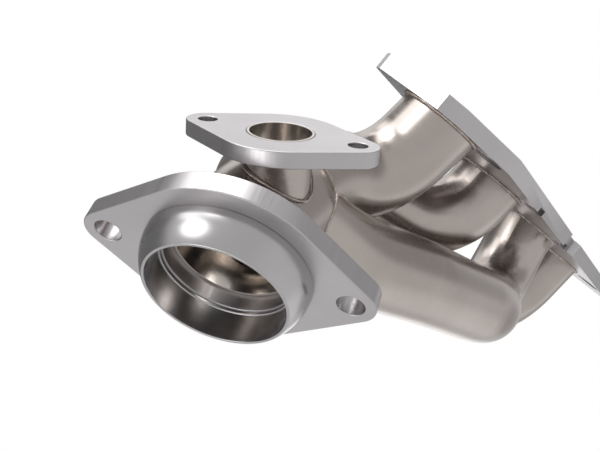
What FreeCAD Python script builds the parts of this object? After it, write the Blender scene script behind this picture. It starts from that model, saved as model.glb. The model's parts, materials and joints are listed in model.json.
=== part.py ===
"""Exhaust header of a four-cylinder engine, in millimetres.

Frame: the origin lies on the gasket face of the head flange, at the middle of the row of
ports. X runs along the row, Y points into the engine and Z points up, so the tubes leave
the flange towards -Y and gather at the +X end of the row.
"""
import FreeCAD, Part
import math
import os
import Sketcher

Vector = FreeCAD.Vector
Rotation = FreeCAD.Rotation
Placement = FreeCAD.Placement

SIZES = {
    # head flange
    "plate_thickness": 9.525,
    "plate_half_height": 40.0,
    "plate_far_end": 230.0,
    "plate_corner_cut": 34.0,
    "plate_heel": 7.6,
    "edge_margin": 1.6,
    "toe_upper_inset": 7.3,
    "toe_upper_drop": 10.4,
    "toe_inset": 45.5,
    "port_spacing": 101.0,
    "notch_from_stud": 18.0,
    "notch_width": 28.0,
    "notch_depth": 5.5,
    "notch_corner": 5.0,
    "stud_hole_diameter": 9.0,
    "relief_diameter": 20.0,
    "relief_depth": 3.5,
    # primary tubes and collector
    "tube_diameter": 44.45,
    "tube_wall": 1.65,
    "tube_gap": 0.45,
    "outlet_diameter": 57.15,
    "outlet_wall": 1.65,
    "throat_length": 40.0,
    # outlet flange and ball seat
    "outlet_plate": 9.525,
    "outlet_bolt_spacing": 107.0,
    "outlet_ear_radius": 11.0,
    "outlet_land": 8.8,
    "outlet_bolt_hole": 12.2,
    "ball_radius": 24.1,
    "ball_shoulder": 8.925,
    "ball_height": 15.5,
    "ball_wall": 1.3,
    "ball_ledge": 1.6,
    "pipe_setback": 8.0,
    # side port
    "port_plate": 7.2,
    "port_bolt_spacing": 67.3,
    "port_ear_radius": 9.25,
    "port_waist_radius": 27.7,
    "port_bolt_hole": 8.2,
    "stub_diameter": 28.6,
    "stub_wall": 1.05,
    "stub_rise": 12.2,
    "stub_depth": 21.9,
    # joints
    "fit_clearance": 0.1,
    "head_bead": 1.5,
    "outlet_bead": 3.0,
    "port_bead": 2.0,
}

# Throat, where the tubes run together: tube pitches from the first port
THROAT_FROM_PORT = Vector(1.609, -2.079, -0.034)
OUTLET_NORMAL = Vector(0.4743, -0.676, -0.5646)
OUTLET_LONG_AXIS = Vector(-0.4173, 0.392, -0.8197)
# How far the outlet's centre lies off its own axis from the throat, in throat lengths
OUTLET_DRIFT = Vector(0.267, -0.040, 0.051)
PIPE_BEND_REACH = 0.94  # share of the free pipe that the bend takes, behind the ball seat
# Side port: sideways from the throat, in radii of the outlet pipe
SIDE_PORT_SHIFT = Vector(0.427, -0.116, -0.458)
SIDE_PORT_NORMAL = Vector(0.5327, 0.7933, 0.294)
SIDE_PORT_LONG_AXIS = Vector(-0.2265, 0.4681, -0.854)

doc = FreeCAD.newDocument("exhaust_header")
sheet = doc.addObject("Spreadsheet::Sheet", "Sizes")
for row, (word, size) in enumerate(SIZES.items(), start=1):
    sheet.set(f"A{row}", word)
    sheet.set(f"B{row}", str(size))
    sheet.setAlias(f"B{row}", word)
doc.recompute()


def size(word):
    """Value of one driving dimension, read from the sheet."""
    return float(getattr(sheet, word))


def bind(feature, prop, formula):
    """Tie a property to the sheet; every word in braces is a driving dimension."""
    for word in SIZES:
        formula = formula.replace("{" + word + "}", f"Sizes.{word}")
    feature.setExpression(prop, formula)


def value_of(formula):
    """Number that a formula gives now, to place a sketch point before it is dimensioned."""
    return sheet.evalExpression(formula.replace("{", "").replace("}", ""))


def dimension(sketch, kind, places, start, formula):
    """Dimension of a sketch, tied to the sheet."""
    index = sketch.addConstraint(Sketcher.Constraint(kind, *places, start))
    bind(sketch, f"Constraints[{index}]", formula)


def frame_at(centre, normal, long_axis):
    """Placement whose Z is the normal and whose X is as near the long axis as can be."""
    across = normal.cross(long_axis)
    return Placement(centre, Rotation(long_axis, across, normal, "ZXY"))


# Routes of the tubes

def bends(points, radii):
    """Straight runs and tangent arcs through the points; returns the edges in order."""
    edges = []
    start = points[0]
    for before, corner, after, radius in zip(points, points[1:], points[2:], radii):
        back = (before - corner).normalize()
        ahead = (after - corner).normalize()
        half_turn = (math.pi - back.getAngle(ahead)) / 2
        tangent = radius * math.tan(half_turn)
        enter = corner + back * tangent
        leave = corner + ahead * tangent
        middle_ray = (back + ahead).normalize()
        middle = corner + middle_ray * (radius / math.cos(half_turn) - radius)
        edges.append(Part.LineSegment(start, enter).toShape())
        edges.append(Part.Arc(enter, middle, leave).toShape())
        start = leave
    edges.append(Part.LineSegment(start, points[-1]).toShape())
    return edges


def spine(name, edges):
    """Document object that holds a route."""
    wire = doc.addObject("Part::Feature", name)
    wire.Shape = Part.Wire(edges)
    return wire


def swept_rod(name, wire, radius_formula):
    """Round rod swept along a route."""
    first = wire.Shape.OrderedEdges[0]
    ring = doc.addObject("Part::Circle", name + "_ring")
    bind(ring, "Radius", radius_formula)
    towards = first.tangentAt(first.FirstParameter)
    ring.Placement = Placement(first.valueAt(first.FirstParameter), Rotation(Vector(0, 0, 1), towards))
    rod = doc.addObject("Part::Sweep", name)
    rod.Sections = [ring]
    rod.Spine = (wire, [f"Edge{i + 1}" for i in range(len(wire.Shape.Edges))])
    rod.Solid = True
    rod.Frenet = False
    rod.Transition = "Transformed"
    return rod


def boolean(kind, name, base, tool):
    """Part boolean of two objects: Cut, Fuse or Common."""
    result = doc.addObject(f"Part::{kind}", name)
    result.Base = base
    result.Tool = tool
    return result


plate_face = -size("plate_thickness")
spacing = size("port_spacing")
pitch = size("tube_diameter") + size("tube_gap")
ports = [Vector(spacing * step, 0, 0) for step in (1.5, 0.5, -0.5, -1.5)]
outlet_axis = Vector(OUTLET_NORMAL).normalize()
throat = ports[0] + THROAT_FROM_PORT * pitch
outlet_centre = throat + (outlet_axis + OUTLET_DRIFT) * size("throat_length")
first, second, third, fourth = ports


def off(base, along, out, up):
    """Point at a base: tube pitches along the row, out from it and up."""
    return base + Vector(along, out, up) * pitch


def row(base, steps):
    """Point at a base, moved along the row by port spacings."""
    return base + Vector(spacing * steps, 0, 0)


# Corners of each tube from its port to the throat, and bend radii in tube diameters
ROUTES = {
    1: ([off(first, 0.053, -1.29, 0.10),
         off(throat, -0.450, 0.52, 0.24)],
        [0.90, 1.20]),
    2: ([off(second, 0.053, -1.29, 0.02),
         off(row(second, 0.638), 0, -1.47, 0.86),
         off(throat, -0.600, 0.00, 0.95)],
        [0.95, 1.35, 1.10]),
    3: ([off(third, 0.076, -1.53, -0.32),
         off(row(third, 1.044), 0, -1.63, -1.14),
         off(row(throat, -0.929), 0, 0.26, -0.85),
         off(throat, -0.708, 0.02, -0.56)],
        [1.03, 1.57, 1.80, 1.35]),
    4: ([off(fourth, 0.098, -1.50, 0.03),
         off(row(fourth, 0.964), 0, -2.10, 0.26),
         off(row(throat, -1.820), 0, -0.16, 0.36),
         off(row(throat, -0.978), 0, -0.41, 0.15),
         off(throat, -0.530, -0.61, 0.22)],
        [0.95, 1.57, 2.00, 2.00, 0.90]),
}

tube_outer = "{tube_diameter} / 2"
tube_inner = "{tube_diameter} / 2 - {tube_wall}"
engine_side = doc.addObject("Part::Box", "engine_side")
bind(engine_side, "Length", "{port_spacing} * 5")
bind(engine_side, "Width", "{plate_thickness} * 3")
bind(engine_side, "Height", "{plate_half_height} * 4")
bind(engine_side, "Placement.Base.x", "-{port_spacing} * 2.5")
bind(engine_side, "Placement.Base.y", "-{plate_thickness}")
bind(engine_side, "Placement.Base.z", "-{plate_half_height} * 2")

tube_rods = []
tube_hollows = []
branch_rods = []
branch_bores = []
for number, (corners, turns) in ROUTES.items():
    port = ports[number - 1]
    lead = (port + Vector(0, plate_face, 0) - corners[0]).normalize()
    start = port + Vector(0, plate_face, 0) + lead * size("tube_wall") * 2
    radii = [turn * size("tube_diameter") for turn in turns]
    route = bends([start] + corners + [throat], radii)
    primary = spine(f"route_{number}", route[:-2])
    branch = spine(f"branch_{number}", route[-2:])
    rod = swept_rod(f"rod_{number}", primary, tube_outer)
    bore = swept_rod(f"bore_{number}", primary, tube_inner)
    hollow = boolean("Cut", f"hollow_{number}", rod, bore)
    tube_rods.append(rod)
    tube_hollows.append(boolean("Cut", f"trimmed_{number}", hollow, engine_side))
    branch_rods.append(swept_rod(f"branch_rod_{number}", branch, tube_outer))
    branch_bores.append(swept_rod(f"branch_bore_{number}", branch, tube_inner))

# Collector: an outlet pipe and four branches that run together at the throat

pipe_outer = "{outlet_diameter} / 2"
pipe_inner = "{outlet_diameter} / 2 - {outlet_wall}"
pipe_end = outlet_centre - outlet_axis * size("pipe_setback")
pipe_corner = outlet_centre - outlet_axis * size("throat_length") / 2
pipe_turn = outlet_axis.getAngle(pipe_corner - throat)
pipe_bend = PIPE_BEND_REACH * (pipe_corner - pipe_end).Length / math.tan(pipe_turn / 2)
pipe_route = spine("pipe_route", bends([throat, pipe_corner, pipe_end], [pipe_bend]))
pipe_rod = swept_rod("pipe_rod", pipe_route, pipe_outer)
pipe_bore = swept_rod("pipe_bore", pipe_route, pipe_inner)


def cap(name, radius_formula):
    """Half sphere that closes the pipe at the throat."""
    sphere = doc.addObject("Part::Sphere", name)
    bind(sphere, "Radius", radius_formula)
    sphere.Angle2 = 0
    sphere.Placement = Placement(throat, Rotation(Vector(0, 0, 1), pipe_corner - throat))
    return sphere


def fused(name, *parts):
    """Join the parts one after the other."""
    whole = parts[0]
    for index, part in enumerate(parts[1:], start=1):
        last = index == len(parts) - 1
        whole = boolean("Fuse", name if last else f"{name}_{index}", whole, part)
    return whole


cap_rod = cap("cap_rod", pipe_outer)
cap_bore = cap("cap_bore", pipe_inner)
collector_solid = fused("collector_solid", pipe_rod, cap_rod, *branch_rods)
collector_space = fused("collector_space", pipe_bore, cap_bore, *branch_bores)
collector_wall = boolean("Cut", "collector_wall", collector_solid, collector_space)

# Each tube is coped to the collector, and the second one to the first where they crowd
tube_hollows[1] = boolean("Cut", "coped_2", tube_hollows[1], tube_rods[0])
pieces = [
    boolean("Cut", f"primary_tube_{number}", hollow, collector_solid)
    for number, hollow in enumerate(tube_hollows, start=1)
]

# Side port: a short stub that stands on the collector

side_axis = Vector(SIDE_PORT_NORMAL).normalize()
pipe_radius = size("outlet_diameter") / 2
side_centre = throat + SIDE_PORT_SHIFT * pipe_radius + side_axis * (pipe_radius + size("stub_rise"))
side_place = frame_at(side_centre, SIDE_PORT_NORMAL, SIDE_PORT_LONG_AXIS)
stub_length = "{stub_rise} + {stub_depth}"


def round_bar(name, place, radius_formula, length_formula, inwards):
    """Cylinder on the axis of a flange, from its face inwards or outwards."""
    bar = doc.addObject("Part::Cylinder", name)
    bind(bar, "Radius", radius_formula)
    bind(bar, "Height", length_formula)
    turn = Rotation(Vector(1, 0, 0), 180) if inwards else Rotation()
    bar.Placement = place.multiply(Placement(Vector(), turn))
    return bar


stub_rod = round_bar("stub_rod", side_place, "{stub_diameter} / 2", stub_length, True)
stub_bore = round_bar("stub_bore", side_place, "{stub_diameter} / 2 - {stub_wall}", stub_length, True)
stub_hollow = boolean("Cut", "stub_hollow", stub_rod, stub_bore)
side_tube = boolean("Cut", "side_port_tube", stub_hollow, collector_solid)
collector = boolean("Cut", "collector", collector_wall, stub_bore)

# Flanges with two ears


def tangent_point(side_x, side_y, ear_x, ear_radius, waist_radius):
    """Where the straight flank touches the waist circle, and where it touches the ear."""
    lean = math.acos((waist_radius - ear_radius) / ear_x)
    on_waist = Vector(side_x * waist_radius * math.cos(lean), side_y * waist_radius * math.sin(lean), 0)
    on_ear = Vector(side_x * (ear_x + ear_radius * math.cos(lean)), side_y * ear_radius * math.sin(lean), 0)
    return on_waist, on_ear


def eared_flange(name, place, thickness, bolt_spacing, ear_radius, waist_formula, hole, bore_formula):
    """Flat flange: a round waist, two ears with bolt holes, straight flanks tangent to both."""
    body = doc.addObject("PartDesign::Body", name)
    sketch = body.newObject("Sketcher::SketchObject", name + "_outline")
    plane = [f for f in body.Origin.OriginFeatures if f.Role == "XY_Plane"][0]
    sketch.AttachmentSupport = [(plane, "")]
    sketch.MapMode = "FlatFace"
    half = size(bolt_spacing) / 2
    ear = size(ear_radius)
    waist = value_of(waist_formula)
    corner = {(i, j): tangent_point(i, j, half, ear, waist) for i in (1, -1) for j in (1, -1)}
    lean = corner[1, 1][0].getAngle(Vector(1, 0, 0))
    up = Vector(0, 0, 1)
    origin = Vector(0, 0, 0)
    right = Part.ArcOfCircle(Part.Circle(Vector(half, 0, 0), up, ear), -lean, lean)
    left = Part.ArcOfCircle(Part.Circle(Vector(-half, 0, 0), up, ear), math.pi - lean, math.pi + lean)
    top = Part.ArcOfCircle(Part.Circle(origin, up, waist), lean, math.pi - lean)
    bottom = Part.ArcOfCircle(Part.Circle(origin, up, waist), math.pi + lean, 2 * math.pi - lean)
    ids = sketch.addGeometry([right, top, left, bottom], False)
    flanks = [
        Part.LineSegment(corner[1, 1][1], corner[1, 1][0]),
        Part.LineSegment(corner[-1, 1][0], corner[-1, 1][1]),
        Part.LineSegment(corner[-1, -1][1], corner[-1, -1][0]),
        Part.LineSegment(corner[1, -1][0], corner[1, -1][1]),
    ]
    lines = sketch.addGeometry(flanks, False)
    ring = [ids[0], lines[0], ids[1], lines[1], ids[2], lines[2], ids[3], lines[3]]
    for one, other in zip(ring, ring[1:] + ring[:1]):
        sketch.addConstraint(Sketcher.Constraint("Tangent", one, 2, other, 1))
    sketch.addConstraint(Sketcher.Constraint("Coincident", ids[1], 3, -1, 1))
    sketch.addConstraint(Sketcher.Constraint("Coincident", ids[3], 3, -1, 1))
    for arc in (ids[0], ids[2]):
        sketch.addConstraint(Sketcher.Constraint("PointOnObject", arc, 3, -1))
    holes = sketch.addGeometry([
        Part.Circle(Vector(half, 0, 0), up, size(hole) / 2),
        Part.Circle(Vector(-half, 0, 0), up, size(hole) / 2),
        Part.Circle(origin, up, waist / 2),
    ], False)
    sketch.addConstraint(Sketcher.Constraint("Coincident", holes[0], 3, ids[0], 3))
    sketch.addConstraint(Sketcher.Constraint("Coincident", holes[1], 3, ids[2], 3))
    sketch.addConstraint(Sketcher.Constraint("Coincident", holes[2], 3, -1, 1))
    dimension(sketch, "DistanceX", (-1, 1, ids[0], 3), half, "{" + bolt_spacing + "} / 2")
    dimension(sketch, "DistanceX", (ids[2], 3, -1, 1), half, "{" + bolt_spacing + "} / 2")
    dimension(sketch, "Radius", (ids[0],), ear, "{" + ear_radius + "}")
    dimension(sketch, "Radius", (ids[2],), ear, "{" + ear_radius + "}")
    dimension(sketch, "Radius", (ids[1],), waist, waist_formula)
    dimension(sketch, "Radius", (ids[3],), waist, waist_formula)
    for drilled in holes[:2]:
        dimension(sketch, "Diameter", (drilled,), size(hole), "{" + hole + "}")
    dimension(sketch, "Radius", (holes[2],), waist / 2, bore_formula)
    pad = body.newObject("PartDesign::Pad", name + "_plate")
    pad.Profile = sketch
    pad.Reversed = True
    bind(pad, "Length", "{" + thickness + "}")
    body.Placement = place
    return body


outlet_place = frame_at(outlet_centre, OUTLET_NORMAL, OUTLET_LONG_AXIS)
outlet_waist = "{outlet_diameter} / 2 + {ball_shoulder} + {outlet_land}"
outlet_flange = eared_flange("outlet_flange", outlet_place, "outlet_plate", "outlet_bolt_spacing",
                             "outlet_ear_radius", outlet_waist, "outlet_bolt_hole",
                             "{outlet_diameter} / 2 + {fit_clearance}")
side_flange = eared_flange("side_port_flange", side_place, "port_plate", "port_bolt_spacing",
                           "port_ear_radius", "{port_waist_radius}", "port_bolt_hole",
                           "{stub_diameter} / 2 + {fit_clearance}")

# Ball seat: the round nose that the next pipe swivels on

seat = doc.addObject("PartDesign::Body", "ball_seat")
profile = seat.newObject("Sketcher::SketchObject", "ball_profile")
profile.AttachmentSupport = [([f for f in seat.Origin.OriginFeatures if f.Role == "XZ_Plane"][0], "")]
profile.MapMode = "FlatFace"
round_radius = size("ball_radius")
arc_middle = "{outlet_diameter} / 2 + {ball_shoulder} - {ball_radius}"
ball_centre = Vector(value_of(arc_middle), 0, 0)
nose = size("ball_height")
lift = math.asin(nose / round_radius)
rim = Vector(ball_centre.x + math.sqrt(round_radius ** 2 - nose ** 2), nose, 0)
hollow_x = size("outlet_diameter") / 2 + size("outlet_wall") / 2
foot = Vector(ball_centre.x + round_radius, 0, 0)
ledge = size("ball_ledge")
wall = size("ball_wall")
outline = profile.addGeometry([
    Part.ArcOfCircle(Part.Circle(ball_centre, Vector(0, 0, 1), round_radius), 0, lift),
    Part.LineSegment(rim, Vector(rim.x - wall, nose, 0)),
    Part.LineSegment(Vector(rim.x - wall, nose, 0), Vector(hollow_x + wall, ledge, 0)),
    Part.LineSegment(Vector(hollow_x + wall, ledge, 0), Vector(hollow_x, ledge, 0)),
    Part.LineSegment(Vector(hollow_x, ledge, 0), Vector(hollow_x, 0, 0)),
    Part.LineSegment(Vector(hollow_x, 0, 0), foot),
], False)
profile.addConstraint(Sketcher.Constraint("Coincident", outline[0], 2, outline[1], 1))
for one, other in zip(outline[1:], outline[2:]):
    profile.addConstraint(Sketcher.Constraint("Coincident", one, 2, other, 1))
profile.addConstraint(Sketcher.Constraint("Coincident", outline[5], 2, outline[0], 1))
for level in (outline[1], outline[3], outline[5]):
    profile.addConstraint(Sketcher.Constraint("Horizontal", level))
profile.addConstraint(Sketcher.Constraint("Vertical", outline[4]))
profile.addConstraint(Sketcher.Constraint("PointOnObject", outline[0], 3, -1))
profile.addConstraint(Sketcher.Constraint("PointOnObject", outline[5], 2, -1))
dimension(profile, "Radius", (outline[0],), round_radius, "{ball_radius}")
dimension(profile, "DistanceX", (-1, 1, outline[0], 3), ball_centre.x, arc_middle)
dimension(profile, "DistanceY", (-1, 1, outline[1], 1), nose, "{ball_height}")
dimension(profile, "DistanceX", (outline[1], 2, outline[1], 1), wall, "{ball_wall}")
dimension(profile, "DistanceY", (-1, 1, outline[3], 1), ledge, "{ball_ledge}")
dimension(profile, "DistanceX", (outline[3], 2, outline[3], 1), wall, "{ball_wall} / 2")
dimension(profile, "DistanceX", (-1, 1, outline[4], 2), hollow_x, "{outlet_diameter} / 2 + {outlet_wall} / 2")
turned = seat.newObject("PartDesign::Revolution", "ball_turned")
turned.Profile = profile
turned.ReferenceAxis = (profile, ["V_Axis"])
turned.Angle = 360
seat.Placement = outlet_place

# Head flange: one laser-cut plate for all four ports

head = doc.addObject("PartDesign::Body", "head_flange")
head_plane = [f for f in head.Origin.OriginFeatures if f.Role == "XZ_Plane"][0]


def head_sketch(name, depth_formula):
    """Sketch parallel to the gasket face, at a depth behind it; its axes are X and Z."""
    sketch = head.newObject("Sketcher::SketchObject", name)
    sketch.AttachmentSupport = [(head_plane, "")]
    sketch.MapMode = "FlatFace"
    bind(sketch, "AttachmentOffset.Base.z", depth_formula)
    return sketch


NOTCH_STUD = 0.397  # port spacings from the middle of the row to the stud in the notch
near_end = "{port_spacing} * 1.5 + {tube_diameter} / 2 + {edge_margin}"
low = "-{plate_half_height}"
notch_start = f"{{notch_from_stud}} - {{port_spacing}} * {NOTCH_STUD}"
notch_floor = "{notch_depth} - {plate_half_height}"
PLATE_CORNERS = [
    ("-{plate_far_end}", low),
    ("-{plate_far_end}", "{plate_half_height} - {plate_corner_cut}"),
    ("{plate_corner_cut} - {plate_far_end}", "{plate_half_height}"),
    (near_end, "{plate_half_height}"),
    (near_end, "-{plate_heel}"),
    (near_end + " - {toe_upper_inset}", "-{plate_heel} - {toe_upper_drop}"),
    (near_end + " - {toe_inset}", low),
    (notch_start, low),
    (notch_start, notch_floor),
    (notch_start + " - {notch_width}", notch_floor),
    (notch_start + " - {notch_width}", low),
]

outline = head_sketch("head_outline", "0")
corners = [Vector(value_of(x), value_of(z), 0) for x, z in PLATE_CORNERS]
sides = outline.addGeometry([Part.LineSegment(a, b) for a, b in zip(corners, corners[1:] + corners[:1])], False)
for one, other in zip(sides, sides[1:] + sides[:1]):
    outline.addConstraint(Sketcher.Constraint("Coincident", one, 2, other, 1))
for side, corner, (x, z) in zip(sides, corners, PLATE_CORNERS):
    dimension(outline, "DistanceX", (-1, 1, side, 1), corner.x, x)
    dimension(outline, "DistanceY", (-1, 1, side, 1), corner.y, z)
plate = head.newObject("PartDesign::Pad", "head_plate")
plate.Profile = outline
bind(plate, "Length", "{plate_thickness}")

# Studs: place along the row in port spacings, side of the plate, inset from its edge
STUDS = [
    (1.276, -1, 16.5), (0.544, -1, 8.5), (-NOTCH_STUD, -1, 11.5), (-1.8, -1, 11.5),
    (1.0, 1, 12.0), (0.0, 1, 12.0), (-1.0, 1, 12.0),
]


def drill(name, places, diameter_formula, length_formula):
    """Round pocket at each place, from the tube side of the plate."""
    sketch = head_sketch(name + "_holes", "{plate_thickness}")
    for x, z in places:
        middle = Vector(value_of(x), value_of(z), 0)
        radius = value_of(diameter_formula) / 2
        circle = sketch.addGeometry(Part.Circle(middle, Vector(0, 0, 1), radius), False)
        dimension(sketch, "Diameter", (circle,), 2 * radius, diameter_formula)
        dimension(sketch, "DistanceX", (-1, 1, circle, 3), middle.x, x)
        dimension(sketch, "DistanceY", (-1, 1, circle, 3), middle.y, z)
    pocket = head.newObject("PartDesign::Pocket", name)
    pocket.Profile = sketch
    bind(pocket, "Length", length_formula)


port_places = [(f"{{port_spacing}} * {step}", "0") for step in (1.5, 0.5, -0.5, -1.5)]
stud_places = [
    (f"{{port_spacing}} * {along}", f"({{plate_half_height}} - {inset}) * {side}")
    for along, side, inset in STUDS
]
seen_below = [place for place, (along, side, inset) in zip(stud_places, STUDS) if side < 0]
drill("ports", port_places, "{tube_diameter} - {tube_wall} * 2", "{plate_thickness}")
drill("studs", stud_places, "{stud_hole_diameter}", "{plate_thickness}")
drill("reliefs", seen_below, "{relief_diameter}", "{relief_depth}")
doc.recompute()

rounded = head.newObject("PartDesign::Fillet", "notch_round")
corner_x = value_of(PLATE_CORNERS[-1][0])
corner_z = value_of(PLATE_CORNERS[-1][1])
plate_shape = doc.getObject("reliefs").Shape
at_corner = [
    f"Edge{i + 1}" for i, edge in enumerate(plate_shape.Edges)
    if all(abs(v.X - corner_x) < 1e-4 and abs(v.Z - corner_z) < 1e-4 for v in edge.Vertexes)
]
rounded.Base = (doc.getObject("reliefs"), at_corner)
bind(rounded, "Radius", "{notch_corner}")

# Weld beads


def bead(name, place, radius_formula, leg_formula, *cutters):
    """Fillet bead round a tube: a cone on the plate, less the tube and whatever it runs into."""
    cone = doc.addObject("Part::Cone", name + "_cone")
    bind(cone, "Radius1", f"{radius_formula} + {leg_formula}")
    bind(cone, "Radius2", f"{radius_formula} + {leg_formula} / 2")
    bind(cone, "Height", leg_formula)
    cone.Placement = place
    whole = cone
    for index, cutter in enumerate(cutters, start=1):
        last = index == len(cutters)
        whole = boolean("Cut", name if last else f"{name}_{index}", whole, cutter)
    return whole


turned_back = Rotation(Vector(0, 0, 1), Vector(0, -1, 0))
for number, rod in enumerate(tube_rods, start=1):
    seat_point = ports[number - 1] + Vector(0, plate_face, 0)
    pieces.append(bead(f"weld_port_{number}", Placement(seat_point, turned_back), tube_outer, "{head_bead}", rod))


def behind(place, thickness):
    """Back face of a flange, with Z pointing away from its front."""
    shift = Placement(Vector(0, 0, -size(thickness)), Rotation(Vector(1, 0, 0), 180))
    return place.multiply(shift)


weld_outlet = bead("weld_outlet", behind(outlet_place, "outlet_plate"), pipe_outer, "{outlet_bead}", pipe_rod)
weld_flange = bead("weld_side_flange", behind(side_place, "port_plate"), "{stub_diameter} / 2", "{port_bead}",
                   stub_rod)

# Saddle bead where the stub stands on the collector
collar = round_bar("collar", side_place, "{stub_diameter} / 2 + {port_bead}", stub_length, True)
skins = [swept_rod(f"skin_{n}", doc.getObject(f"branch_{n}"), tube_outer + " + {port_bead}") for n in (1, 2)]
skins.append(cap("skin_cap", pipe_outer + " + {port_bead}"))
skins.append(swept_rod("skin_pipe", pipe_route, pipe_outer + " + {port_bead}"))
skin = fused("skin", *skins)
saddle_band = boolean("Common", "saddle_band", collar, skin)
saddle_clear = boolean("Cut", "saddle_clear", saddle_band, collector_solid)
saddle_open = boolean("Cut", "saddle_open", saddle_clear, stub_rod)
saddle = boolean("Cut", "weld_side_port", saddle_open, weld_flange)

pieces += [head, collector, outlet_flange, seat, weld_outlet, side_tube, side_flange, weld_flange, saddle]

# Check and write

doc.recompute()
for item in doc.Objects:
    wrong = [word for word in item.State if word in ("Invalid", "Error")]
    if wrong:
        raise RuntimeError(f"{item.Name} is {wrong}: {item.getStatusString()}")
os.makedirs("parts", exist_ok=True)
for piece in pieces:
    shape = piece.Shape
    if shape.isNull() or not shape.isValid():
        raise RuntimeError(f"{piece.Name} has no valid shape")
    piece.Label = piece.Name
    shape.exportStep(f"parts/{piece.Label}.step")
    box = shape.BoundBox
    print(f"{piece.Label}: {len(shape.Solids)} solid, {shape.Volume / 1000:.2f} cm3,",
          f"x {box.XMin:.1f} {box.XMax:.1f} y {box.YMin:.1f} {box.YMax:.1f} z {box.ZMin:.1f} {box.ZMax:.1f}")
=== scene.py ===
"""Looks of a welded four-into-one exhaust header.

The plates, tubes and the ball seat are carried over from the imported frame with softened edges
and their own finishes; the weld beads are laid here, ripple by ripple.
"""

import json
import logging
import math
from dataclasses import dataclass, field
from enum import Enum
from typing import Any

import bmesh
import bpy
import numpy as np
from mathutils import Matrix, Vector


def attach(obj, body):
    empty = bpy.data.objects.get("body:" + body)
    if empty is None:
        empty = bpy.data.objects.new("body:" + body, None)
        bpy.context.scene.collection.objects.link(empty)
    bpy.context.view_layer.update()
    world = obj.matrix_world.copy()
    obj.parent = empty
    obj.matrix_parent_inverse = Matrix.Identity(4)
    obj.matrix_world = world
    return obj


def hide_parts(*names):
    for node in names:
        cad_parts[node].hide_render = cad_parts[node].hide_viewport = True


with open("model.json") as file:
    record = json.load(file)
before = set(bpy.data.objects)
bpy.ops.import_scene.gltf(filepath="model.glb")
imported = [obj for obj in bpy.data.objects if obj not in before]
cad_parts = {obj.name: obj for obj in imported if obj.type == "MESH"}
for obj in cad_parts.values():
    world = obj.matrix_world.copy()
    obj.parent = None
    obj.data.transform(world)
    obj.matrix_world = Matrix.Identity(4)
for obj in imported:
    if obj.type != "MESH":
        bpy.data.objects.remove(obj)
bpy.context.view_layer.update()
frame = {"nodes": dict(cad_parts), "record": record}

MM = 0.001
BODY = "root"
SMOOTH = "SMOOTHSTEP"
Point = tuple[float, float, float]
Tree = bpy.types.NodeTree
Node = bpy.types.Node
Socket = bpy.types.NodeSocket
log = logging.getLogger("exhaust_header")


class Slot(Enum):
    """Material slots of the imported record."""

    TUBE = "stainless_tube"
    PLATE = "flange_plate"
    BALL = "ball_steel"
    WELD = "weld_metal"


def mount(name: str) -> tuple[Vector, Vector]:
    """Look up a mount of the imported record.

    Args:
        name: the mount's name.

    Returns:
        Its point in metres and its unit axis.
    """
    found = next(m for m in frame["record"]["mounts"] if m["name"] == name)
    return Vector(found["pos_m"]), Vector(found["axis"]).normalized()


def linear(hex_colour: str) -> tuple[float, float, float, float]:
    """Turn an sRGB hex colour into linear light.

    Args:
        hex_colour: six hex digits.

    Returns:
        Red, green and blue in linear light, and an alpha of 1.
    """
    parts = [int(hex_colour[i:i + 2], 16) / 255 for i in (0, 2, 4)]
    light = [c / 12.92 if c <= 0.04045 else ((c + 0.055) / 1.055) ** 2.4 for c in parts]
    return (light[0], light[1], light[2], 1.0)


def add(tree: Tree, kind: str, sockets: dict[Any, Any] | None = None, **settings: Any) -> Node:
    """Add a node with its settings and links.

    Args:
        tree: the node tree.
        kind: Blender's identifier of the node.
        sockets: input name or index, to a value or to the output socket that feeds it.
        settings: properties of the node.

    Returns:
        The new node.
    """
    node = tree.nodes.new(kind)
    for prop, value in settings.items():
        setattr(node, prop, value)
    for key, value in (sockets or {}).items():
        if isinstance(value, Socket):
            tree.links.new(value, node.inputs[key])
        else:
            node.inputs[key].default_value = value
    return node


def local_frame(point: Vector, axis: Vector, along: Vector) -> Matrix:
    """Frame at a point, with Z on the axis and X as near a direction as it can be.

    Args:
        point: the origin, in metres.
        axis: unit direction of Z.
        along: direction that X leans to.

    Returns:
        The frame's matrix, from local to object space.
    """
    x = (along - axis * along.dot(axis)).normalized()
    y = axis.cross(x)
    turn = Matrix((x, y, axis)).transposed().to_4x4()
    return Matrix.Translation(point) @ turn


OUTLET, OUTLET_AXIS = mount("outlet_bolts")
SIDE_PORT, SIDE_AXIS = mount("side_port_bolts")
HEAD_FRAME = local_frame(Vector(), Vector((0, 1, 0)), Vector((1, 0, 0)))
OUTLET_FRAME = local_frame(OUTLET, OUTLET_AXIS, Vector((-0.4173, 0.392, -0.8197)))
SIDE_FRAME = local_frame(SIDE_PORT, SIDE_AXIS, Vector((-0.2265, 0.4681, -0.854)))


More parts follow.
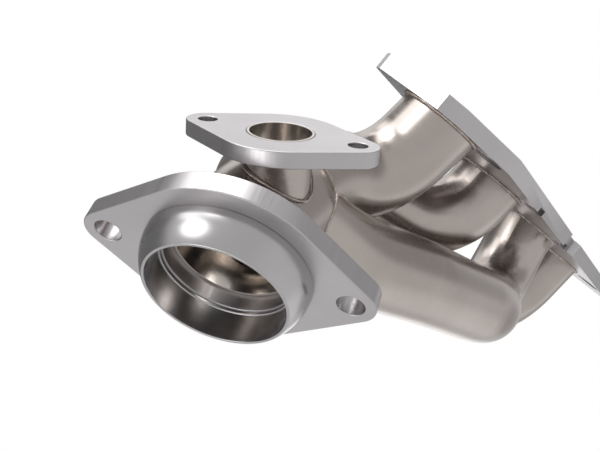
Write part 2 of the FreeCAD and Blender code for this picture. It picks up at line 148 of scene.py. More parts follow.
@dataclass(frozen=True)
class Finish:
    """A metal finish: what all of them share."""

    name: str
    colour: str
    shade: str
    roughness: float

    def start(self, piece_frame: Matrix | None = None) -> tuple[bpy.types.Material, Tree, Node, Socket]:
        """Make the material with its metal shader.

        Args:
            piece_frame: frame that the coordinates are wanted in, if not the object's own.

        Returns:
            The material, its tree, its shader and the socket of the coordinates, in metres.
        """
        material = bpy.data.materials.new(self.name)
        material.use_nodes = True
        tree = material.node_tree
        tree.nodes.clear()
        shader = add(tree, "ShaderNodeBsdfPrincipled", {"Metallic": 1.0, "Roughness": self.roughness})
        add(tree, "ShaderNodeOutputMaterial", {"Surface": shader.outputs["BSDF"]})
        here = add(tree, "ShaderNodeTexCoord").outputs["Object"]
        if piece_frame is not None:
            inward = piece_frame.inverted()
            here = add(tree, "ShaderNodeMapping", {
                "Vector": here, "Location": inward.translation, "Rotation": inward.to_euler()}).outputs[0]
        return material, tree, shader, here

    def facing(self, tree: Tree, piece_frame: Matrix) -> Socket:
        """How squarely the surface faces a piece's own Z.

        Args:
            tree: the node tree.
            piece_frame: frame of the piece.

        Returns:
            The socket of the cosine, from -1 to 1.
        """
        normal = add(tree, "ShaderNodeTexCoord").outputs["Normal"]
        axis = piece_frame.to_3x3().col[2]
        square = add(tree, "ShaderNodeVectorMath", {0: normal, 1: axis}, operation="DOT_PRODUCT")
        return square.outputs["Value"]

    def mottle(self, tree: Tree, patches: Socket, low: float = 0.3, high: float = 0.75) -> Socket:
        """Drift the colour towards the shade in soft patches.

        Args:
            tree: the node tree.
            patches: socket of the patches, from 0 to 1.
            low: where the colour starts to drift.
            high: where the shade is reached.

        Returns:
            The socket of the colour.
        """
        drift = add(tree, "ShaderNodeMapRange", {0: patches, 1: low, 2: high}, interpolation_type=SMOOTH)
        return add(tree, "ShaderNodeMix", {
            "Factor": drift.outputs[0], "A": linear(self.colour), "B": linear(self.shade)},
            data_type="RGBA").outputs["Result"]

    def work(self, tree: Tree, shader: Node, marks: Socket, sway: float, depth_mm: float,
             part: Socket | None = None, part_roughness: float = 0.0) -> None:
        """Let the marks of the tool sway the gloss and stand in relief.

        Args:
            tree: the node tree.
            shader: the metal shader.
            marks: socket of the tool's marks, from 0 to 1.
            sway: how far they move the roughness, down and up.
            depth_mm: how deep they are, in millimetres.
            part: socket that is 1 where the metal is worked in another way, if it is anywhere.
            part_roughness: roughness there.
        """
        gloss = add(tree, "ShaderNodeMapRange", {
            0: marks, 1: 0.3, 2: 0.7, 3: self.roughness - sway, 4: self.roughness + sway},
            interpolation_type=SMOOTH).outputs[0]
        if part is not None:
            gloss = add(tree, "ShaderNodeMix", {"Factor": part, "A": gloss, "B": part_roughness},
                        data_type="FLOAT").outputs["Result"]
        tree.links.new(gloss, shader.inputs["Roughness"])
        bump = add(tree, "ShaderNodeBump", {"Height": marks, "Distance": depth_mm * MM, "Strength": 1.0})
        tree.links.new(bump.outputs["Normal"], shader.inputs["Normal"])


@dataclass(frozen=True)
class PolishedTube(Finish):
    """Welded stainless tube, bent on a mandrel and belt-polished to a satin sheen.

    The belt runs round the tube and leaves fine rings, which fray the edges of a highlight;
    the bore keeps the smoother skin of the mill, and is painted paler than the outside:
    a painted glow that stands in for light let in at the tube's open ends.
    """

    # Painted glow: paler than the outside, to stand in for light let into the tube at its open ends
    bore: str = "EAE4DE"
    bore_roughness: float = 0.2
    ring_mm: float = 0.7
    arc_mm: float = 30.0
    cloud_mm: float = 38.0
    sway: float = 0.025
    depth_mm: float = 0.0016

    def build(self) -> bpy.types.Material:
        """Make the material: cloudy satin with rings outside; inside smoother, and painted paler as a glow.

        Returns:
            The material.
        """
        material, tree, shader, here = self.start()
        along = add(tree, "ShaderNodeAttribute", attribute_name="along").outputs["Fac"]
        inside = add(tree, "ShaderNodeAttribute", attribute_name="bore").outputs["Fac"]
        # Rings: fine along the tube, long round it; coarser than a belt's grit so that they show
        parts = add(tree, "ShaderNodeSeparateXYZ", {0: here})
        scaled = {}
        for axis, value, size_mm in ((0, along, self.ring_mm), (1, parts.outputs[0], self.arc_mm),
                                     (2, parts.outputs[2], self.arc_mm)):
            scaled[axis] = add(tree, "ShaderNodeMath", {0: value, 1: 1 / (size_mm * MM)},
                               operation="MULTIPLY").outputs[0]
        lined = add(tree, "ShaderNodeCombineXYZ", scaled).outputs[0]
        rings = add(tree, "ShaderNodeTexNoise", {"Vector": lined, "Scale": 1.0, "Detail": 3.0}).outputs["Fac"]
        clouds = add(tree, "ShaderNodeTexNoise", {
            "Vector": here, "Scale": 1 / (self.cloud_mm * MM), "Detail": 3.0}).outputs["Fac"]
        # Inside, the colour turns to the paler bore colour: a painted glow for light let in at the open ends
        skin = add(tree, "ShaderNodeMix", {
            "Factor": inside, "A": self.mottle(tree, clouds), "B": linear(self.bore)}, data_type="RGBA")
        tree.links.new(skin.outputs["Result"], shader.inputs["Base Color"])
        self.work(tree, shader, rings, self.sway, self.depth_mm, inside, self.bore_roughness)
        return material


@dataclass(frozen=True)
class CutPlate(Finish):
    """Rolled steel plate, laser-cut and lightly ground.

    The faces are even and matt; the cut edges carry fine upright striations left by the beam.
    """

    striation_mm: float = 0.9
    grain_mm: float = 0.9
    cloud_mm: float = 45.0
    sway: float = 0.05
    depth_mm: float = 0.006

    def build(self, piece_frame: Matrix) -> bpy.types.Material:
        """Make the material for one plate.

        Args:
            piece_frame: frame of the plate, with Z square to its faces.

        Returns:
            The material.
        """
        material, tree, shader, here = self.start(piece_frame)
        # Striations run through the plate, grinding marks along it; both coarser than real ones
        patterns = []
        for stretch, size_mm in (((0.08, 1.0, 1.0), self.grain_mm), ((1.0, 1.0, 0.02), self.striation_mm)):
            drawn = add(tree, "ShaderNodeMapping", {"Vector": here, "Scale": stretch}).outputs[0]
            patterns.append(add(tree, "ShaderNodeTexNoise", {
                "Vector": drawn, "Scale": 1 / (size_mm * MM), "Detail": 3.0}).outputs["Fac"])
        flatness = add(tree, "ShaderNodeMath", {0: self.facing(tree, piece_frame)}, operation="ABSOLUTE")
        edge = add(tree, "ShaderNodeMapRange", {0: flatness.outputs[0], 1: 0.2, 2: 0.6, 3: 1.0, 4: 0.0},
                   interpolation_type=SMOOTH).outputs[0]
        marks = add(tree, "ShaderNodeMix", {"Factor": edge, "A": patterns[0], "B": patterns[1]},
                    data_type="FLOAT").outputs["Result"]
        clouds = add(tree, "ShaderNodeTexNoise", {
            "Vector": here, "Scale": 1 / (self.cloud_mm * MM), "Detail": 3.0}).outputs["Fac"]
        tree.links.new(self.mottle(tree, clouds), shader.inputs["Base Color"])
        self.work(tree, shader, marks, self.sway, self.depth_mm)
        return material


@dataclass(frozen=True)
class TurnedSteel(Finish):
    """Steel turned on a lathe: fine rings about the axis, and steps that the tool leaves matt."""

    ring_mm: float = 0.6
    cloud_mm: float = 30.0
    faced_roughness: float = 0.6
    sway: float = 0.02
    depth_mm: float = 0.0007

    def build(self, piece_frame: Matrix) -> bpy.types.Material:
        """Make the material: rings that follow the distance from the axis and the height on it.

        Args:
            piece_frame: frame of the piece, with Z on its axis.

        Returns:
            The material.
        """
        material, tree, shader, here = self.start(piece_frame)
        parts = add(tree, "ShaderNodeSeparateXYZ", {0: here})
        level = add(tree, "ShaderNodeCombineXYZ", {0: parts.outputs[0], 1: parts.outputs[1]})
        radius = add(tree, "ShaderNodeVectorMath", {0: level.outputs[0]}, operation="LENGTH")
        ring = add(tree, "ShaderNodeCombineXYZ", {0: radius.outputs["Value"], 2: parts.outputs[2]})
        rings = add(tree, "ShaderNodeTexNoise", {
            "Vector": ring.outputs[0], "Scale": 1 / (self.ring_mm * MM), "Detail": 4.0}).outputs["Fac"]
        clouds = add(tree, "ShaderNodeTexNoise", {
            "Vector": here, "Scale": 1 / (self.cloud_mm * MM), "Detail": 3.0}).outputs["Fac"]
        tree.links.new(self.mottle(tree, clouds), shader.inputs["Base Color"])
        faced = add(tree, "ShaderNodeMapRange", {0: self.facing(tree, piece_frame), 1: 0.9, 2: 0.98},
                    interpolation_type=SMOOTH).outputs[0]
        self.work(tree, shader, rings, self.sway, self.depth_mm, faced, self.faced_roughness)
        return material


@dataclass(frozen=True)
class WeldMetal(Finish):
    """Stainless filler laid by hand: bright ripples with a straw tint between them."""

    patch_mm: float = 5.0
    grain_mm: float = 0.5
    smoother: float = 0.05
    rougher: float = 0.08
    depth_mm: float = 0.02

    def build(self) -> bpy.types.Material:
        """Make the material: bright metal that tans in patches.

        Returns:
            The material.
        """
        material, tree, shader, here = self.start()
        patches, grain = (
            add(tree, "ShaderNodeTexNoise", {
                "Vector": here, "Scale": 1 / (size_mm * MM), "Detail": 3.0}).outputs["Fac"]
            for size_mm in (self.patch_mm, self.grain_mm))
        tree.links.new(self.mottle(tree, patches, 0.35, 0.65), shader.inputs["Base Color"])
        gloss = add(tree, "ShaderNodeMapRange", {
            0: patches, 1: 0.3, 2: 0.7, 3: self.roughness - self.smoother, 4: self.roughness + self.rougher},
            interpolation_type=SMOOTH)
        tree.links.new(gloss.outputs[0], shader.inputs["Roughness"])
        bump = add(tree, "ShaderNodeBump", {"Height": grain, "Distance": self.depth_mm * MM, "Strength": 1.0})
        tree.links.new(bump.outputs["Normal"], shader.inputs["Normal"])
        return material


@dataclass(frozen=True)
class Route:
    """Middle line of a bent tube: its corners, bend radii and the tube's radii, in millimetres."""

    corners: tuple[Point, ...]
    turns: tuple[float, ...] = ()
    outer: float = 22.225
    inner: float = 20.575

    def line(self) -> np.ndarray:
        """Follow the straight runs and the arcs of the bends.

        Returns:
            Points about a millimetre apart, in metres.
        """
        corners = [Vector(c) for c in self.corners]
        points = [corners[0]]
        for before, corner, after, radius in zip(corners, corners[1:], corners[2:], self.turns):
            back = (before - corner).normalized()
            ahead = (after - corner).normalized()
            half = (math.pi - back.angle(ahead)) / 2
            centre = corner + (back + ahead).normalized() * (radius / math.cos(half))
            enter = corner + back * radius * math.tan(half) - centre
            leave = corner + ahead * radius * math.tan(half) - centre
            steps = max(4, int(half * 60))
            for step in range(steps + 1):
                share = step / steps
                arm = enter * math.sin((1 - share) * 2 * half) + leave * math.sin(share * 2 * half)
                points.append(centre + arm / math.sin(2 * half))
        points.append(corners[-1])
        knots = np.array(points) * MM
        lengths = np.concatenate([[0], np.cumsum(np.linalg.norm(np.diff(knots, axis=0), axis=1))])
        even = np.linspace(0, lengths[-1], int(lengths[-1] / MM) + 2)
        return np.stack([np.interp(even, lengths, knots[:, i]) for i in range(3)], axis=1)


# The routes of the source: each tube from its port to the throat, where all four run together
THROAT: Point = (223.74, -93.35, -1.53)
TUBE_ROUTES = {
    1: Route(((151.34, -6.24, -0.3), (153.88, -57.92, 4.49), (203.54, -70.0, 9.25), THROAT),
             (40.01, 53.34)),
    2: Route(((50.34, -6.23, -0.06), (52.88, -57.92, 0.9), (114.94, -66.0, 38.61),
              (196.8, -93.35, 41.13), THROAT), (42.23, 60.01, 48.9)),
    3: Route(((-50.68, -6.32, 0.78), (-47.09, -68.7, -14.37), (54.94, -73.19, -51.19),
              (129.92, -81.67, -39.69), (191.95, -92.45, -26.67), THROAT),
             (45.78, 69.79, 80.01, 60.01)),
    4: Route(((-151.75, -6.24, -0.08), (-147.1, -67.35, 1.35), (-54.14, -94.29, 11.67),
              (39.92, -100.53, 14.64), (124.97, -111.76, 5.21), (199.95, -120.74, 8.35), THROAT),
             (42.23, 69.79, 88.9, 88.9, 40.01)),
}
PIPE_ROUTE = Route((THROAT, (243.907, -108.462, -10.775), (249.596, -116.571, -17.547)), (59.72,),
                   28.575, 26.925)
STUB_LENGTH_MM = 34.1
STUB_ROUTE = Route((tuple(SIDE_PORT / MM), tuple(SIDE_PORT / MM - SIDE_AXIS * STUB_LENGTH_MM)), (),
                   14.3, 13.25)


def flatten(piece: bpy.types.Object) -> None:
    """Turn a piece and its modifiers into one plain mesh.

    Args:
        piece: the piece.
    """
    view = bpy.context.evaluated_depsgraph_get()
    plain = bpy.data.meshes.new_from_object(piece.evaluated_get(view), depsgraph=view)
    piece.modifiers.clear()
    piece.data = plain


def tie(piece: bpy.types.Object, slot: Slot, *nodes: str) -> None:
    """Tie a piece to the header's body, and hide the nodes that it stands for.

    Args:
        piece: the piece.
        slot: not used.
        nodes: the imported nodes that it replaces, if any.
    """
    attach(piece, BODY)
    if nodes:
        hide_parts(*nodes)
    log.info("%s: %d faces", piece.name, len(piece.data.polygons))


def merged_copy(node: str, name: str, material: bpy.types.Material,
                dissolve_degrees: float = 0.0) -> bpy.types.Object:
    """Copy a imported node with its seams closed.

    Args:
        node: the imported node.
        name: name of the copy.
        material: its only material.
        dissolve_degrees: faces that turn by less than this are joined; 0 keeps them all.

    Returns:
        The copy, with the node's own normals where no faces are joined.
    """
    mesh = frame["nodes"][node].data.copy()
    exact = np.empty(len(mesh.loops) * 3, dtype=np.float32)
    mesh.corner_normals.foreach_get("vector", exact)
    kept = mesh.attributes.new("kept_normal", "FLOAT_VECTOR", "CORNER")
    kept.data.foreach_set("vector", exact)
    solid = bmesh.new()
    solid.from_mesh(mesh)
    bmesh.ops.remove_doubles(solid, verts=solid.verts, dist=0.002 * MM)
    if dissolve_degrees:
        bmesh.ops.dissolve_limit(solid, angle_limit=math.radians(dissolve_degrees),
                                 verts=solid.verts, edges=solid.edges)
    solid.to_mesh(mesh)
    solid.free()
    mesh.shade_smooth()
    if not dissolve_degrees:
        normals = np.empty(len(mesh.loops) * 3, dtype=np.float32)
        mesh.attributes["kept_normal"].data.foreach_get("vector", normals)
        mesh.normals_split_custom_set(normals.reshape(-1, 3).tolist())
    mesh.attributes.remove(mesh.attributes["kept_normal"])
    mesh.materials.clear()
    mesh.materials.append(material)
    piece = bpy.data.objects.new(name, mesh)
    bpy.context.scene.collection.objects.link(piece)
    return piece


@dataclass
class BrokenEdges:
    """A plate or turned piece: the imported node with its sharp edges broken."""

    node: str
    slot: Slot
    soften_mm: float
    flat_degrees: float = 0.5
    sharp_degrees: float = 32.0
    snipped: Point | None = None
    snip_mm: float = 6.0
    snip_reach_mm: float = 0.5

    def snip(self, mesh: bpy.types.Mesh, corner: Vector) -> None:
        """Cut off a corner of the plate, right through it.

        Args:
            mesh: the plate's mesh.
            corner: a point on the corner's upright edge, in metres.
        """
        solid = bmesh.new()
        solid.from_mesh(mesh)
        edges = [e for e in solid.edges
                 if all(math.hypot(v.co.x - corner.x, v.co.z - corner.z) < self.snip_reach_mm * MM
                        for v in e.verts)]
        bmesh.ops.bevel(solid, geom=edges, offset=self.snip_mm * MM, segments=1, affect="EDGES")
        solid.to_mesh(mesh)
        solid.free()

    def build(self, material: bpy.types.Material) -> bpy.types.Object:
        """Copy the node, soften its edges and put it in the node's place.

        Args:
            material: the finish.

        Returns:
            The new piece.
        """
        piece = merged_copy(self.node, self.node + "_finish", material, self.flat_degrees)
        mesh = piece.data
        if "custom_normal" in mesh.attributes:
            mesh.attributes.remove(mesh.attributes["custom_normal"])
        if self.snipped:
            self.snip(mesh, Vector(self.snipped) * MM)
        mesh.set_sharp_from_angle(angle=math.radians(self.sharp_degrees))
        bevel = piece.modifiers.new("edge_break", "BEVEL")
        bevel.width = self.soften_mm * MM
        bevel.segments = 2
        bevel.limit_method = "ANGLE"
        bevel.angle_limit = math.radians(self.sharp_degrees)
        bevel.harden_normals = True
        flatten(piece)
        tie(piece, self.slot, self.node)
        return piece


@dataclass
class TubeWork:
    """A tube, or the collector that tubes run into, with its length and bore marked."""

    node: str
    routes: tuple[Route, ...]

    def build(self, material: bpy.types.Material) -> bpy.types.Object:
        """Copy the node and mark each point: how far along its tube it lies, and whether inside.

        Args:
            material: the finish.

        Returns:
            The new piece.
        """
        piece = merged_copy(self.node, self.node + "_finish", material)
        mesh = piece.data
        spots = np.empty(len(mesh.vertices) * 3, dtype=np.float32)
        mesh.vertices.foreach_get("co", spots)
        spots = spots.reshape(-1, 3)
        along = np.zeros(len(spots), dtype=np.float32)
        inside = np.zeros(len(spots), dtype=np.float32)
        best = np.full(len(spots), np.inf)
        for route in self.routes:
            line = route.line()
            gaps = np.sqrt(((spots[:, None, :] - line[None, :, :]) ** 2).sum(axis=2))
            nearest = gaps.argmin(axis=1)
            reach = gaps[np.arange(len(spots)), nearest]
            for radius, is_bore in ((route.outer, 0.0), (route.inner, 1.0)):
                miss = np.abs(reach - radius * MM)
                closer = miss < best
                best = np.where(closer, miss, best)
                along = np.where(closer, nearest * MM, along)
                inside = np.where(closer, is_bore, inside)
        for name, values in (("along", along), ("bore", inside)):
            mark = mesh.attributes.new(name, "FLOAT", "POINT")
            mark.data.foreach_set("value", values.astype(np.float32))
        tie(piece, Slot.TUBE, self.node)
        return piece


def fold_lines(piece: bpy.types.Object, least_degrees: float, least_mm: float) -> list[np.ndarray]:
    """Find the hollow folds where the outsides of tubes meet.

    Args:
        piece: a piece whose bore is marked.
        least_degrees: folds that are flatter than this are left out.
        least_mm: folds that are shorter than this are left out.

    Returns:
        The lines of the folds, each as points in order, in metres.
    """
    solid = bmesh.new()
    solid.from_mesh(piece.data)
    mark = solid.verts.layers.float["bore"]
    joined: dict[int, set[int]] = {}
    spots = {v.index: v.co.copy() for v in solid.verts}
    for edge in solid.edges:
        outside = all(v[mark] < 0.5 for v in edge.verts) and len(edge.link_faces) == 2
        if outside and edge.calc_face_angle_signed() < -math.radians(least_degrees):
            one, other = (v.index for v in edge.verts)
            joined.setdefault(one, set()).add(other)
            joined.setdefault(other, set()).add(one)
    solid.free()
    lines = []
    # Lines start at loose ends and crossings, so that none is begun in its middle
    ends = sorted(joined, key=lambda v: (len(joined[v]) == 2, v))
    for start in ends:
        while joined[start]:
            line = [start]
            while joined[line[-1]]:
                here = line[-1]
                there = min(joined[here])
                joined[here].discard(there)
                joined[there].discard(here)
                line.append(there)
                if len(joined[there]) != 1:
                    break
            points = np.array([spots[v][:] for v in line])
            if np.linalg.norm(np.diff(points, axis=0), axis=1).sum() > least_mm * MM:
                lines.append(points)
    return lines


@dataclass(frozen=True)
class Ripples:
    """The ripples of a weld bead: how uneven they are, how they overlap and how finely each is made."""

    least: float = 0.9
    most: float = 1.1
    overlap: float = 0.85
    seed: int = 7
    segments: int = 12
    rings: int = 7

    def build(self, material: bpy.types.Material) -> Tree:
        """Build the node tree that lays overlapping ripples along a seam.

        Args:
            material: the weld's finish.

        Returns:
            The tree, with inputs for the seam, the ripple spacing and the bead's radius.
        """
        tree = bpy.data.node_groups.new("weld_ripples", "GeometryNodeTree")
        for name, way, kind in (("Seam", "INPUT", "Geometry"), ("Spacing", "INPUT", "Float"),
                                ("Radius", "INPUT", "Float"), ("Bead", "OUTPUT", "Geometry")):
            tree.interface.new_socket(name, in_out=way, socket_type="NodeSocket" + kind)
        inputs = add(tree, "NodeGroupInput").outputs
        seam = add(tree, "GeometryNodeMeshToCurve", {"Mesh": inputs["Seam"]}).outputs[0]
        stations = add(tree, "GeometryNodeResampleCurve", {
            "Curve": seam, "Length": inputs["Spacing"]}, mode="LENGTH").outputs[0]
        tangent = add(tree, "GeometryNodeInputTangent").outputs[0]
        turn = add(tree, "FunctionNodeAlignRotationToVector", {"Vector": tangent}, axis="Z").outputs[0]
        uneven = add(tree, "FunctionNodeRandomValue", {2: self.least, 3: self.most, "Seed": self.seed},
                     data_type="FLOAT").outputs[1]
        width = add(tree, "ShaderNodeMath", {0: uneven, 1: inputs["Radius"]},
                    operation="MULTIPLY").outputs[0]
        thick = add(tree, "ShaderNodeMath", {0: inputs["Spacing"], 1: self.overlap},
                    operation="MULTIPLY").outputs[0]
        size = add(tree, "ShaderNodeCombineXYZ", {0: width, 1: width, 2: thick}).outputs[0]
        drop = add(tree, "GeometryNodeMeshUVSphere", {
            "Segments": self.segments, "Rings": self.rings, "Radius": 1.0}).outputs[0]
        laid = add(tree, "GeometryNodeInstanceOnPoints", {
            "Points": stations, "Instance": drop, "Rotation": turn, "Scale": size}).outputs[0]
        real = add(tree, "GeometryNodeRealizeInstances", {0: laid}).outputs[0]
        soft = add(tree, "GeometryNodeSetShadeSmooth", {"Geometry": real}).outputs[0]
        done = add(tree, "GeometryNodeSetMaterial", {"Geometry": soft, "Material": material}).outputs[0]
        add(tree, "NodeGroupOutput", {"Bead": done})
        return tree


@dataclass(frozen=True)
class Bead:
    """Size of a bead: half its width and the distance from ripple to ripple, in millimetres."""

    radius_mm: float
    spacing_mm: float

    def lay(self, name: str, points: np.ndarray, closed: bool, tree: Tree, *nodes: str) -> bpy.types.Object:
        """Lay ripples along a line.

        Args:
            name: name of the piece.
            points: the line, in metres.
            closed: whether its ends meet.
            tree: the tree that lays them.
            nodes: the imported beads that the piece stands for, if any.

        Returns:
            The new piece.
        """
        count = len(points)
        edges = [(i, i + 1) for i in range(count - 1)] + ([(count - 1, 0)] if closed else [])
        mesh = bpy.data.meshes.new(name)
        mesh.from_pydata(points.tolist(), edges, [])
        piece = bpy.data.objects.new(name, mesh)
        bpy.context.scene.collection.objects.link(piece)
        layer = piece.modifiers.new("ripples", "NODES")
        layer.node_group = tree
        wanted = {"Spacing": self.spacing_mm * MM, "Radius": self.radius_mm * MM}
        for item in tree.interface.items_tree:
            if item.in_out == "INPUT" and item.name in wanted:
                layer[item.identifier] = wanted[item.name]
        flatten(piece)
        tie(piece, Slot.WELD, *nodes)
        return piece


@dataclass
class RingWeld:
    """A bead that runs round an axis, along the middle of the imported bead."""

    node: str
    centre: Vector
    axis: Vector
    bead: Bead
    stations: int = 60
    samples: int = 20000
    seed: int = 11

    def seam(self) -> np.ndarray:
        """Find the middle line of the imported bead, station by station round its axis.

        Returns:
            Points in order, in metres.
        """
        mesh = frame["nodes"][self.node].data
        mesh.calc_loop_triangles()
        corners = np.array([[mesh.vertices[v].co[:] for v in t.vertices] for t in mesh.loop_triangles])
        area = np.array([t.area for t in mesh.loop_triangles])
        chance = np.random.default_rng(self.seed)
        chosen = corners[chance.choice(len(area), self.samples, p=area / area.sum())]
        split = np.sort(chance.random((self.samples, 2)), axis=1)
        weights = np.stack([split[:, 0], split[:, 1] - split[:, 0], 1 - split[:, 1]], axis=1)
        spots = (chosen * weights[:, :, None]).sum(axis=1)
        side = self.axis.orthogonal().normalized()
        other = self.axis.cross(side)
        arms = spots - np.array(self.centre)
        angle = np.arctan2(arms @ np.array(other), arms @ np.array(side)) % math.tau
        station = (angle / math.tau * self.stations).astype(int) % self.stations
        return np.array([spots[station == i].mean(axis=0)
                         for i in range(self.stations) if (station == i).any()])

    def build(self, tree: Tree) -> bpy.types.Object:
        """Lay the ripples along the seam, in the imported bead's place."""
        return self.bead.lay(self.node + "_ripples", self.seam(), True, tree, self.node)


@dataclass
class Header:
    """The whole header: plates, tubes, collector, ball seat, side port and welds."""

    # Polished tube: warm grey with soft clouds; its highlights run along the tube and fray
    tube: PolishedTube = PolishedTube("Belt-polished stainless tube", "BCB3AD", "B2A9A3", 0.25)
    # Bare plate: cooler and more matt than the tubes, so its faces read as even greys
    plate: CutPlate = CutPlate("Laser-cut rolled steel plate", "C1BEC0", "BAB7B9", 0.34)
    # Turned seat: as pale as the plate but smoother, with one round highlight
    ball: TurnedSteel = TurnedSteel("Turned steel seat", "C0BEBF", "B8B6B7", 0.24)
    # Weld: a row of small bright drops, straw-coloured in patches
    weld: WeldMetal = WeldMetal("Hand-laid stainless weld", "C2BAB4", "AA9F95", 0.28)
    plate_break_mm: float = 0.5
    ball_break_mm: float = 0.3
    near_corner: Point = (175.3, 0, 40)
    port_spacing_mm: float = 101.0
    plate_mm: float = 9.525
    port_bead: Bead = Bead(1.0, 1.1)
    outlet_bead: Bead = Bead(1.9, 1.5)
    side_flange_bead: Bead = Bead(1.3, 1.1)
    side_port_bead: Bead = Bead(0.5, 0.8)
    crotch_bead: Bead = Bead(0.8, 1.0)
    least_fold_degrees: float = 25
    least_fold_mm: float = 12
    pieces: list[bpy.types.Object] = field(default_factory=list)

    def dress_plates(self) -> None:
        """Build the three flanges and the ball seat."""
        plates = (("head_flange", HEAD_FRAME, self.near_corner), ("outlet_flange", OUTLET_FRAME, None),
                  ("side_port_flange", SIDE_FRAME, None))
        for node, piece_frame, corner in plates:
            plate = BrokenEdges(node, Slot.PLATE, self.plate_break_mm, snipped=corner)
            self.pieces.append(plate.build(self.plate.build(piece_frame)))
        seat = BrokenEdges("ball_seat", Slot.BALL, self.ball_break_mm)
        self.pieces.append(seat.build(self.ball.build(OUTLET_FRAME)))

    def dress_tubes(self) -> bpy.types.Object:
        """Build the primary tubes, the collector and the stub of the side port.

        Returns:
            The collector.
        """
        polished = self.tube.build()
        for number, route in TUBE_ROUTES.items():
            self.pieces.append(TubeWork(f"primary_tube_{number}", (route,)).build(polished))
        collector = TubeWork("collector", (*TUBE_ROUTES.values(), PIPE_ROUTE)).build(polished)
        stub = TubeWork("side_port_tube", (STUB_ROUTE,)).build(polished)
        self.pieces += [collector, stub]
        return collector

    def lay_welds(self, collector: bpy.types.Object) -> None:
        """Lay the beads on the flanges, round the side port and in the folds of the collector.

        Args:
            collector: the dressed collector.
        """
        tree = Ripples().build(self.weld.build())
        welds = []
        for number in TUBE_ROUTES:
            row = (len(TUBE_ROUTES) + 1) / 2 - number
            centre = Vector((row * self.port_spacing_mm, -self.plate_mm, 0)) * MM
            welds.append(RingWeld(f"weld_port_{number}", centre, Vector((0, -1, 0)), self.port_bead))
        welds.append(RingWeld("weld_outlet", OUTLET, OUTLET_AXIS, self.outlet_bead))
        welds.append(RingWeld("weld_side_flange", SIDE_PORT, SIDE_AXIS, self.side_flange_bead))
        welds.append(RingWeld("weld_side_port", SIDE_PORT, SIDE_AXIS, self.side_port_bead))
        self.pieces += [weld.build(tree) for weld in welds]
        folds = fold_lines(collector, self.least_fold_degrees, self.least_fold_mm)
        for number, line in enumerate(folds, start=1):
            self.pieces.append(self.crotch_bead.lay(f"crotch_weld_{number}", line, False, tree))

    def build(self) -> None:
        """Build the plates, the tubes and the welds."""
        self.dress_plates()
        self.lay_welds(self.dress_tubes())


@dataclass(frozen=True)
class Card:
    """A softbox or a dark card of the studio, as the header sees it.

    It covers all within inner degrees of a direction and fades out by outer degrees.
    """

    towards: Point
    inner: float
    outer: float
    level: float


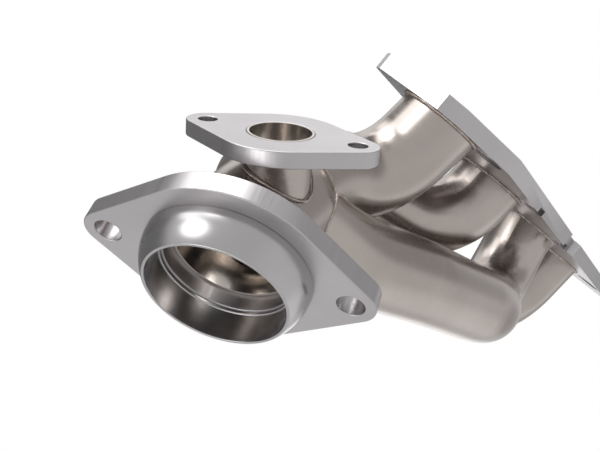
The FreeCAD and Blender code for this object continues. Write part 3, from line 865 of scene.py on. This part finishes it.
@dataclass
class Studio:
    """Pale studio: an even surround with softboxes and dark cards, a floor and the camera."""

    cards: tuple[Card, ...] = (
        Card((-0.30, 0.30, -0.90), 20, 60, 0.74),
        Card((-0.80, -0.20, -0.56), 8, 26, 0.95),
        Card((-0.55, 0.79, -0.26), 15, 29, 0.42),
        Card((-0.96, 0.09, -0.26), 8, 20, 0.45),
        Card((0.26, 0.95, 0.10), 6, 14, 0.48),
        Card((0.474, -0.676, -0.564), 6, 12, 2.0),
        Card((-0.62, 0.60, 0.50), 10, 22, 0.95),
        Card((-0.20, -0.15, 0.97), 25, 45, 0.22),
        Card((-0.11, -0.63, 0.77), 30, 50, 0.20),
        Card((-0.25, -0.96, -0.08), 12, 26, 0.80),
        Card((-0.43, 0.32, 0.845), 9, 23, 0.98),
        Card((0.39, 0.68, 0.62), 16, 25, 4.4),
        Card((0.90, 0.08, 0.44), 12, 19, 3.6),
        Card((-0.02, 0.38, 0.925), 5, 13, 1.9),
        Card((0.25, 0.37, 0.895), 4, 10, 1.9),
        Card((0.56, 0.27, 0.78), 8, 16, 2.3),
        Card((-0.146, 0.826, 0.545), 12, 24, 2.2),
        Card((0.63, -0.74, -0.24), 9, 17, 3.2),
        Card((-0.90, -0.36, 0.25), 8, 18, 1.4),
        Card((-0.845, -0.10, 0.525), 9, 16, 0.12),
    )
    surround: float = 0.67
    lamp_towards: Point = (0.33, 0.55, 0.77)
    lamp_distance: float = 1.4
    lamp_watts: float = 4.0
    lamp_size: float = 0.8
    floor_z: float = -0.235
    floor_half: float = 1.5
    lens_mm: float = 50
    sensor_mm: float = 36
    camera_at: Point = (0.5393, -0.0538, -0.2083)
    camera_right: Point = (-0.4539, 0.6321, -0.628)
    camera_up: Point = (0.2603, 0.7681, 0.585)
    camera_ahead: Point = (-0.8522, -0.102, 0.5132)

    def light(self) -> None:
        """Make the surround with its cards, and one soft lamp for the floor's shadow."""
        world = bpy.data.worlds.new("Studio surround")
        bpy.context.scene.world = world
        world.use_nodes = True
        tree = world.node_tree
        tree.nodes.clear()
        ray = add(tree, "ShaderNodeTexCoord").outputs["Generated"]
        level: Any = self.surround
        for card in self.cards:
            towards = Vector(card.towards).normalized()
            near = add(tree, "ShaderNodeVectorMath", {0: ray, 1: towards}, operation="DOT_PRODUCT")
            covered = add(tree, "ShaderNodeMapRange", {
                0: near.outputs["Value"], 1: math.cos(math.radians(card.outer)),
                2: math.cos(math.radians(card.inner))}, interpolation_type=SMOOTH).outputs[0]
            level = add(tree, "ShaderNodeMix", {"Factor": covered, "A": level, "B": card.level},
                        data_type="FLOAT").outputs["Result"]
        path = add(tree, "ShaderNodeLightPath").outputs
        seen = add(tree, "ShaderNodeMath", {0: path["Is Camera Ray"], 1: path["Is Transmission Ray"]},
                   operation="MAXIMUM").outputs[0]
        strength = add(tree, "ShaderNodeMix", {"Factor": seen, "A": level, "B": 1.0}, data_type="FLOAT")
        backdrop = add(tree, "ShaderNodeBackground", {
            "Color": (1, 1, 1, 1), "Strength": strength.outputs["Result"]})
        add(tree, "ShaderNodeOutputWorld", {"Surface": backdrop.outputs[0]})
        lamp = bpy.data.lights.new("Overhead lamp", "AREA")
        lamp.energy = self.lamp_watts
        lamp.size = self.lamp_size
        holder = bpy.data.objects.new("Overhead lamp", lamp)
        bpy.context.scene.collection.objects.link(holder)
        overhead = Vector(self.lamp_towards).normalized()
        holder.matrix_world = local_frame(overhead * self.lamp_distance, overhead, Vector((1, 0, 0)))
        holder.visible_glossy = False

    def floor(self) -> None:
        """Lay the pale floor under the header, just below the camera."""
        half, z = self.floor_half, self.floor_z
        mesh = bpy.data.meshes.new("floor")
        mesh.from_pydata([(-half, -half, z), (half, -half, z), (half, half, z), (-half, half, z)], [],
                         [(0, 1, 2, 3)])
        material = bpy.data.materials.new("Matt white board")
        material.use_nodes = True
        shader = material.node_tree.nodes["Principled BSDF"]
        shader.inputs["Base Color"].default_value = linear("ECECEA")
        shader.inputs["Roughness"].default_value = 0.8
        mesh.materials.append(material)
        board = bpy.data.objects.new("floor", mesh)
        bpy.context.scene.collection.objects.link(board)
        # The lower cards reach the metal through the board, which only catches the shadow
        board.visible_glossy = False
        board.visible_shadow = False

    def camera(self) -> None:
        """Place the camera as in the photograph: below the outlet, looking up along the row."""
        lens = bpy.data.cameras.new("Camera")
        lens.lens = self.lens_mm
        lens.sensor_width = self.sensor_mm
        holder = bpy.data.objects.new("Camera", lens)
        bpy.context.scene.collection.objects.link(holder)
        right, up, ahead = (Vector(v) for v in (self.camera_right, self.camera_up, self.camera_ahead))
        turn = Matrix((right, up, -ahead)).transposed().to_4x4()
        holder.matrix_world = Matrix.Translation(self.camera_at) @ turn
        bpy.context.scene.camera = holder

    def build(self) -> None:
        """Build the light, the floor and the camera."""
        self.light()
        self.floor()
        self.camera()
        bpy.context.scene.view_settings.view_transform = "Standard"


def main() -> None:
    """Dress the header, light it and place the camera."""
    logging.basicConfig(level=logging.INFO, format="%(message)s")
    header = Header()
    header.build()
    Studio().build()
    log.info("pieces: %d", len(header.pieces))


if __name__ == "__main__":
    main()
